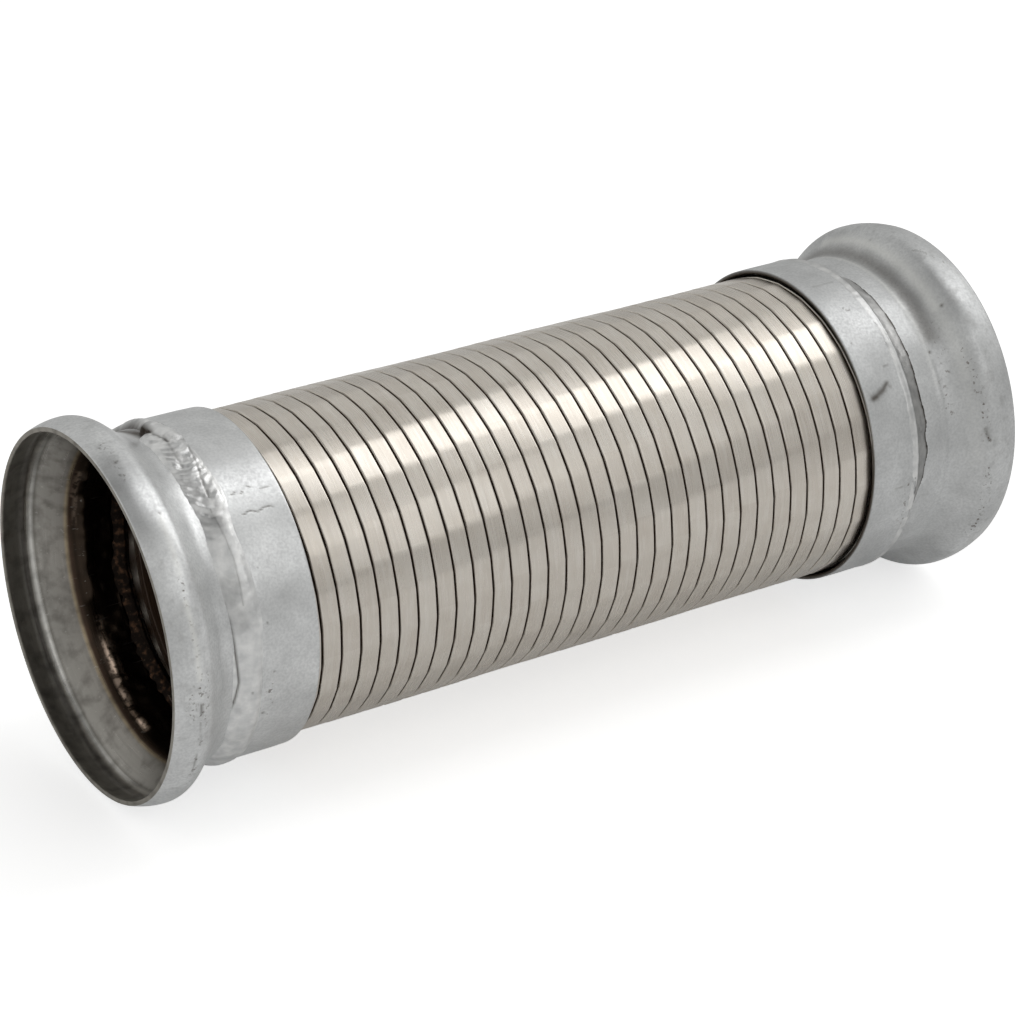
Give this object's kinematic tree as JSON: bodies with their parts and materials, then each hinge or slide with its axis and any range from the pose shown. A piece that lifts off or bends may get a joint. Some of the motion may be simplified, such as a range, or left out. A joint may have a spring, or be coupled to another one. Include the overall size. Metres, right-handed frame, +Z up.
{
  "type": "flexible exhaust pipe",
  "caption": "Strip-wound interlocked steel exhaust hose between two welded collars, with a flared clamp flange on each end; it bends, and stretches a little.",
  "frame": {"origin": "centre of the inlet lip's face, on the pipe's axis", "axes": "+X runs along the pipe from the inlet lip to the outlet lip, +Z is up with the pipe lying down, +Y completes the right-handed frame"},
  "size_m": [0.33, 0.1262, 0.1262],
  "materials": {
    "flange": "satin pressed steel, light grey",
    "collar": "satin tube steel, light grey",
    "weld": "rippled weld bead",
    "root_weld": "heat-tinted root bead",
    "strip": "cold-rolled stainless strip"
  },
  "bodies": {
    "inlet_end": {"inlet_flange": "flange", "inlet_weld": "weld", "inlet_collar": "collar", "inlet_root_weld": "root_weld", "inlet_hose_end": "strip"},
    "turn_01": {"hose_turn_01": "strip"},
    "turn_02": {"hose_turn_02": "strip"},
    "turn_03": {"hose_turn_03": "strip"},
    "turn_04": {"hose_turn_04": "strip"},
    "turn_05": {"hose_turn_05": "strip"},
    "turn_06": {"hose_turn_06": "strip"},
    "turn_07": {"hose_turn_07": "strip"},
    "turn_08": {"hose_turn_08": "strip"},
    "turn_09": {"hose_turn_09": "strip"},
    "turn_10": {"hose_turn_10": "strip"},
    "turn_11": {"hose_turn_11": "strip"},
    "turn_12": {"hose_turn_12": "strip"},
    "turn_13": {"hose_turn_13": "strip"},
    "turn_14": {"hose_turn_14": "strip"},
    "turn_15": {"hose_turn_15": "strip"},
    "turn_16": {"hose_turn_16": "strip"},
    "turn_17": {"hose_turn_17": "strip"},
    "turn_18": {"hose_turn_18": "strip"},
    "turn_19": {"hose_turn_19": "strip"},
    "turn_20": {"hose_turn_20": "strip"},
    "turn_21": {"hose_turn_21": "strip"},
    "turn_22": {"hose_turn_22": "strip"},
    "turn_23": {"hose_turn_23": "strip"},
    "turn_24": {"hose_turn_24": "strip"},
    "turn_25": {"hose_turn_25": "strip"},
    "turn_26": {"hose_turn_26": "strip"},
    "turn_27": {"hose_turn_27": "strip"},
    "turn_28": {"hose_turn_28": "strip"},
    "turn_29": {"hose_turn_29": "strip"},
    "turn_30": {"hose_turn_30": "strip"},
    "turn_31": {"hose_turn_31": "strip"},
    "outlet_end": {"outlet_flange": "flange", "outlet_weld": "weld", "outlet_collar": "collar", "outlet_root_weld": "root_weld", "outlet_hose_end": "strip"}
  },
  "joints": [
    {"name": "stretch_01", "type": "slide", "parent": "inlet_end", "child": "turn_01", "axis": [1, 0, 0], "range_m": [-0.00075, 0.0013]},
    {"name": "bend_up_01", "type": "hinge", "parent": "turn_01", "child": "turn_02", "pos_m": [0.06103, 0, 0], "axis": [0, -1, 0], "range_deg": [-0.8, 0.8]},
    {"name": "bend_side_01", "type": "hinge", "parent": "turn_02", "child": "turn_03", "pos_m": [0.06803, 0, 0], "axis": [0, 0, 1], "range_deg": [-0.8, 0.8]},
    {"name": "stretch_02", "type": "slide", "parent": "turn_03", "child": "turn_04", "axis": [1, 0, 0], "range_m": [-0.00075, 0.0013]},
    {"name": "bend_up_02", "type": "hinge", "parent": "turn_04", "child": "turn_05", "pos_m": [0.08203, 0, 0], "axis": [0, -1, 0], "range_deg": [-0.8, 0.8]},
    {"name": "bend_side_02", "type": "hinge", "parent": "turn_05", "child": "turn_06", "pos_m": [0.08903, 0, 0], "axis": [0, 0, 1], "range_deg": [-0.8, 0.8]},
    {"name": "stretch_03", "type": "slide", "parent": "turn_06", "child": "turn_07", "axis": [1, 0, 0], "range_m": [-0.00075, 0.0013]},
    {"name": "bend_up_03", "type": "hinge", "parent": "turn_07", "child": "turn_08", "pos_m": [0.10303, 0, 0], "axis": [0, -1, 0], "range_deg": [-0.8, 0.8]},
    {"name": "bend_side_03", "type": "hinge", "parent": "turn_08", "child": "turn_09", "pos_m": [0.11002, 0, 0], "axis": [0, 0, 1], "range_deg": [-0.8, 0.8]},
    {"name": "stretch_04", "type": "slide", "parent": "turn_09", "child": "turn_10", "axis": [1, 0, 0], "range_m": [-0.00075, 0.0013]},
    {"name": "bend_up_04", "type": "hinge", "parent": "turn_10", "child": "turn_11", "pos_m": [0.12402, 0, 0], "axis": [0, -1, 0], "range_deg": [-0.8, 0.8]},
    {"name": "bend_side_04", "type": "hinge", "parent": "turn_11", "child": "turn_12", "pos_m": [0.13103, 0, 0], "axis": [0, 0, 1], "range_deg": [-0.8, 0.8]},
    {"name": "stretch_05", "type": "slide", "parent": "turn_12", "child": "turn_13", "axis": [1, 0, 0], "range_m": [-0.00075, 0.0013]},
    {"name": "bend_up_05", "type": "hinge", "parent": "turn_13", "child": "turn_14", "pos_m": [0.14502, 0, 0], "axis": [0, -1, 0], "range_deg": [-0.8, 0.8]},
    {"name": "bend_side_05", "type": "hinge", "parent": "turn_14", "child": "turn_15", "pos_m": [0.15202, 0, 0], "axis": [0, 0, 1], "range_deg": [-0.8, 0.8]},
    {"name": "stretch_06", "type": "slide", "parent": "turn_15", "child": "turn_16", "axis": [1, 0, 0], "range_m": [-0.00075, 0.0013]},
    {"name": "bend_up_06", "type": "hinge", "parent": "turn_16", "child": "turn_17", "pos_m": [0.16603, 0, 0], "axis": [0, -1, 0], "range_deg": [-0.8, 0.8]},
    {"name": "bend_side_06", "type": "hinge", "parent": "turn_17", "child": "turn_18", "pos_m": [0.17303, 0, 0], "axis": [0, 0, 1], "range_deg": [-0.8, 0.8]},
    {"name": "stretch_07", "type": "slide", "parent": "turn_18", "child": "turn_19", "axis": [1, 0, 0], "range_m": [-0.00075, 0.0013]},
    {"name": "bend_up_07", "type": "hinge", "parent": "turn_19", "child": "turn_20", "pos_m": [0.18702, 0, 0], "axis": [0, -1, 0], "range_deg": [-0.8, 0.8]},
    {"name": "bend_side_07", "type": "hinge", "parent": "turn_20", "child": "turn_21", "pos_m": [0.19403, 0, 0], "axis": [0, 0, 1], "range_deg": [-0.8, 0.8]},
    {"name": "stretch_08", "type": "slide", "parent": "turn_21", "child": "turn_22", "axis": [1, 0, 0], "range_m": [-0.00075, 0.0013]},
    {"name": "bend_up_08", "type": "hinge", "parent": "turn_22", "child": "turn_23", "pos_m": [0.20802, 0, 0], "axis": [0, -1, 0], "range_deg": [-0.8, 0.8]},
    {"name": "bend_side_08", "type": "hinge", "parent": "turn_23", "child": "turn_24", "pos_m": [0.21502, 0, 0], "axis": [0, 0, 1], "range_deg": [-0.8, 0.8]},
    {"name": "stretch_09", "type": "slide", "parent": "turn_24", "child": "turn_25", "axis": [1, 0, 0], "range_m": [-0.00075, 0.0013]},
    {"name": "bend_up_09", "type": "hinge", "parent": "turn_25", "child": "turn_26", "pos_m": [0.22903, 0, 0], "axis": [0, -1, 0], "range_deg": [-0.8, 0.8]},
    {"name": "bend_side_09", "type": "hinge", "parent": "turn_26", "child": "turn_27", "pos_m": [0.23603, 0, 0], "axis": [0, 0, 1], "range_deg": [-0.8, 0.8]},
    {"name": "stretch_10", "type": "slide", "parent": "turn_27", "child": "turn_28", "axis": [1, 0, 0], "range_m": [-0.00075, 0.0013]},
    {"name": "bend_up_10", "type": "hinge", "parent": "turn_28", "child": "turn_29", "pos_m": [0.25002, 0, 0], "axis": [0, -1, 0], "range_deg": [-0.8, 0.8]},
    {"name": "bend_side_10", "type": "hinge", "parent": "turn_29", "child": "turn_30", "pos_m": [0.25703, 0, 0], "axis": [0, 0, 1], "range_deg": [-0.8, 0.8]},
    {"name": "stretch_11", "type": "slide", "parent": "turn_30", "child": "turn_31", "axis": [1, 0, 0], "range_m": [-0.00075, 0.0013]},
    {"name": "bend_up_11", "type": "hinge", "parent": "turn_31", "child": "outlet_end", "pos_m": [0.27103, 0, 0], "axis": [0, -1, 0], "range_deg": [-0.8, 0.8]}
  ],
  "couplings": [
    {"joint": "stretch_02", "follows": "stretch_01", "ratio": 1},
    {"joint": "bend_up_02", "follows": "bend_up_01", "ratio": 1},
    {"joint": "bend_side_02", "follows": "bend_side_01", "ratio": 1},
    {"joint": "stretch_03", "follows": "stretch_01", "ratio": 1},
    {"joint": "bend_up_03", "follows": "bend_up_01", "ratio": 1},
    {"joint": "bend_side_03", "follows": "bend_side_01", "ratio": 1},
    {"joint": "stretch_04", "follows": "stretch_01", "ratio": 1},
    {"joint": "bend_up_04", "follows": "bend_up_01", "ratio": 1},
    {"joint": "bend_side_04", "follows": "bend_side_01", "ratio": 1},
    {"joint": "stretch_05", "follows": "stretch_01", "ratio": 1},
    {"joint": "bend_up_05", "follows": "bend_up_01", "ratio": 1},
    {"joint": "bend_side_05", "follows": "bend_side_01", "ratio": 1},
    {"joint": "stretch_06", "follows": "stretch_01", "ratio": 1},
    {"joint": "bend_up_06", "follows": "bend_up_01", "ratio": 1},
    {"joint": "bend_side_06", "follows": "bend_side_01", "ratio": 1},
    {"joint": "stretch_07", "follows": "stretch_01", "ratio": 1},
    {"joint": "bend_up_07", "follows": "bend_up_01", "ratio": 1},
    {"joint": "bend_side_07", "follows": "bend_side_01", "ratio": 1},
    {"joint": "stretch_08", "follows": "stretch_01", "ratio": 1},
    {"joint": "bend_up_08", "follows": "bend_up_01", "ratio": 1},
    {"joint": "bend_side_08", "follows": "bend_side_01", "ratio": 1},
    {"joint": "stretch_09", "follows": "stretch_01", "ratio": 1},
    {"joint": "bend_up_09", "follows": "bend_up_01", "ratio": 1},
    {"joint": "bend_side_09", "follows": "bend_side_01", "ratio": 1},
    {"joint": "stretch_10", "follows": "stretch_01", "ratio": 1},
    {"joint": "bend_up_10", "follows": "bend_up_01", "ratio": 1},
    {"joint": "bend_side_10", "follows": "bend_side_01", "ratio": 1},
    {"joint": "stretch_11", "follows": "stretch_01", "ratio": 1},
    {"joint": "bend_up_11", "follows": "bend_up_01", "ratio": 1}
  ]
}
